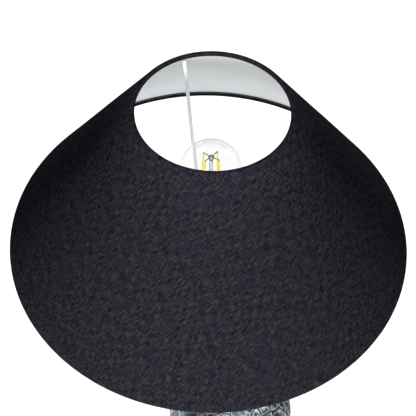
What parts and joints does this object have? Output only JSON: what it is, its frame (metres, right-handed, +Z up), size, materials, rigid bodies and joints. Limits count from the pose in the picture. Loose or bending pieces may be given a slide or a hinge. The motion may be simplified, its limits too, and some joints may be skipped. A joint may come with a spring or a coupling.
{
  "type": "table lamp",
  "caption": "Table lamp with a wide conical linen shade on a wire frame, clear filament bulb in a screw lampholder, slim stem, and an off-centre round relief base.",
  "frame": {"origin": "on the table, under the common axis of the stem, lampholder and shade", "axes": "+Z up along the stem; +X towards the side on which the base's centre stands; -Y to the front, from which the lamp is looked at; the cord inlet faces +Y"},
  "size_m": [0.4, 0.4, 0.6534],
  "materials": {
    "felt": "matt pressed felt",
    "cover_steel": "dull plated steel",
    "base_relief": "whitewashed blue-grey over cell relief, satin",
    "weight_iron": "rough casting",
    "zinc": "zinc plated",
    "grommet": "matt moulded",
    "bronze": "dark bronze, satin",
    "holder_black": "moulded, satin",
    "core_ceramic": "unglazed white",
    "contact_brass": "bright",
    "shade_cloth": "matt woven linen, near black",
    "shade_liner": "white film, fine texture",
    "frame_wire": "white powder coat",
    "ring_wire": "plain drawn wire",
    "washer_fibre": "pressed fibre",
    "bulb_glass": "clear blown glass",
    "cap_nickel": "nickel plated",
    "cap_glass": "black insulating glass",
    "filament": "yellow phosphor coating",
    "mount_wire": "dark drawn wire"
  },
  "bodies": {
    "lamp": {"base_pad": "felt", "base_cover": "cover_steel", "base_body": "base_relief", "base_weight": "weight_iron", "cord_grommet": "grommet", "rod_washer": "zinc", "rod_nut": "zinc", "tie_rod": "zinc", "neck_cap": "bronze", "stem_tube": "bronze", "stem_ferrule": "bronze", "stem_nipple": "zinc", "holder_cap": "holder_black", "holder_nut": "zinc", "socket_core": "core_ceramic", "socket_shell": "contact_brass", "centre_contact": "contact_brass", "holder_skirt": "holder_black", "lower_shade_ring": "holder_black", "terminal_screw_1": "contact_brass", "terminal_screw_2": "contact_brass"},
    "shade": {"shade_fabric": "shade_cloth", "shade_lining": "shade_liner", "shade_seam": "shade_cloth", "top_hem": "shade_cloth", "bottom_hem": "shade_cloth", "top_wire": "ring_wire", "bottom_wire": "ring_wire", "fitter_ring": "frame_wire", "spider_arm_back": "frame_wire", "spider_arm_front": "frame_wire"},
    "collar_carrier": {"collar_washer": "washer_fibre"},
    "collar": {"upper_collar": "holder_black"},
    "bulb_carrier": {"bulb_tip": "cap_nickel"},
    "bulb": {"bulb_insulator": "cap_glass", "bulb_cap": "cap_nickel", "bulb_glass": "bulb_glass", "bulb_stem": "bulb_glass", "bulb_bead": "bulb_glass", "filament_1": "filament", "filament_hook_1": "mount_wire", "lead_wire_1": "mount_wire", "filament_2": "filament", "filament_hook_2": "mount_wire", "lead_wire_2": "mount_wire", "filament_3": "filament", "filament_hook_3": "mount_wire", "lead_wire_3": "mount_wire", "filament_4": "filament", "filament_hook_4": "mount_wire", "lead_wire_4": "mount_wire"}
  },
  "joints": [
    {"name": "shade_turn", "type": "hinge", "parent": "lamp", "child": "shade", "pos_m": [0, 0, 0.5008], "axis": [0, 0, 1], "continuous": true},
    {"name": "collar_rise", "type": "slide", "parent": "lamp", "child": "collar_carrier", "axis": [0, 0, 1], "range_m": [0, 0.005]},
    {"name": "collar_turn", "type": "hinge", "parent": "collar_carrier", "child": "collar", "pos_m": [0, 0, 0.5072], "axis": [0, 0, 1], "range_deg": [0, 720]},
    {"name": "bulb_rise", "type": "slide", "parent": "lamp", "child": "bulb_carrier", "axis": [0, 0, 1], "range_m": [0, 0.01089]},
    {"name": "bulb_turn", "type": "hinge", "parent": "bulb_carrier", "child": "bulb", "pos_m": [0, 0, 0.52], "axis": [0, 0, 1], "range_deg": [0, 1080]}
  ],
  "couplings": [
    {"joint": "collar_turn", "follows": "collar_rise", "rad_per_m": 2513.3},
    {"joint": "bulb_turn", "follows": "bulb_rise", "rad_per_m": 1731.4}
  ]
}
